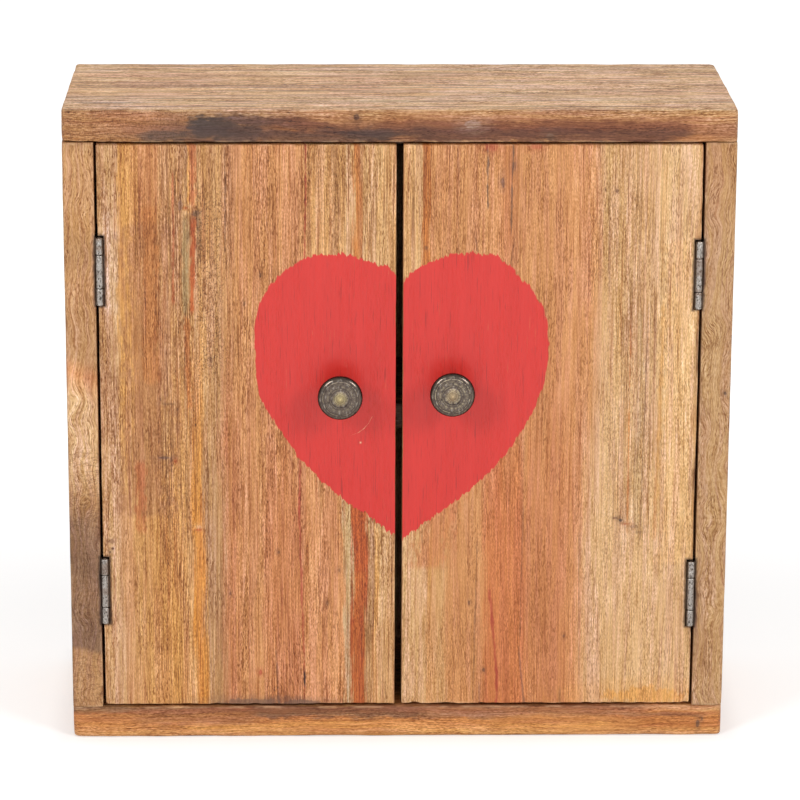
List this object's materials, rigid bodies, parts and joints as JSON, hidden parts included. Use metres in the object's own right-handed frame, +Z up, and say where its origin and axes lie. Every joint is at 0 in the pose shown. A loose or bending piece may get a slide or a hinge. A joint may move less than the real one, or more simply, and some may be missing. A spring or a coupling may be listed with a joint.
{
  "type": "medicine cabinet",
  "caption": "Small wooden wall or shelf cabinet with two inset hinged doors, turned brass knobs, an inner shelf and a red painted motif across the doors.",
  "frame": {"origin": "centre of the underside of the bottom board", "axes": "+Z up, the doors face -Y, +X to the right as seen from the front"},
  "size_m": [0.385, 0.1616, 0.379],
  "materials": {
    "carcass_wood": "oiled reclaimed hardwood, sanded edges",
    "door_wood": "oiled reclaimed hardwood with a brushed red motif",
    "back_wood": "thin panel, plain",
    "dowel_wood": "beech, plain",
    "aged_brass": "antique, darkened, turned",
    "iron": "dull grey, aged",
    "steel": "zinc plated",
    "catch_plastic": "brown, moulded",
    "magnet": "sintered, dark"
  },
  "bodies": {
    "carcass": {"top_board": "carcass_wood", "bottom_board": "carcass_wood", "side_board_left": "carcass_wood", "side_board_right": "carcass_wood", "back_panel": "back_wood", "shelf": "carcass_wood", "dowels": "dowel_wood", "catch_housing": "catch_plastic", "catch_magnets": "magnet", "catch_pole_plates": "steel", "catch_screws": "steel", "hanger_screws": "steel", "hinge_frame_leaf_left_low": "iron", "hinge_pin_left_low": "iron", "hinge_frame_leaf_left_high": "iron", "hinge_pin_left_high": "iron", "hinge_frame_screws_left": "steel", "hanger_plate_left": "steel", "hinge_frame_leaf_right_low": "iron", "hinge_pin_right_low": "iron", "hinge_frame_leaf_right_high": "iron", "hinge_pin_right_high": "iron", "hinge_frame_screws_right": "steel", "hanger_plate_right": "steel"},
    "left_door": {"door_left": "door_wood", "hinge_door_leaf_left_low": "iron", "hinge_door_leaf_left_high": "iron", "hinge_door_screws_left": "steel", "knob_left": "aged_brass", "knob_washer_left": "steel", "knob_screw_left": "steel", "strike_plate_left": "steel", "strike_screws_left": "steel"},
    "right_door": {"door_right": "door_wood", "hinge_door_leaf_right_low": "iron", "hinge_door_leaf_right_high": "iron", "hinge_door_screws_right": "steel", "knob_right": "aged_brass", "knob_washer_right": "steel", "knob_screw_right": "steel", "strike_plate_right": "steel", "strike_screws_right": "steel"}
  },
  "joints": [
    {"name": "left_door_hinge", "type": "hinge", "parent": "carcass", "child": "left_door", "pos_m": [-0.17205, -0.0704, 0.18825], "axis": [0, 0, -1], "range_deg": [0, 180]},
    {"name": "right_door_hinge", "type": "hinge", "parent": "carcass", "child": "right_door", "pos_m": [0.17205, -0.0704, 0.18575], "axis": [0, 0, 1], "range_deg": [0, 180]}
  ]
}
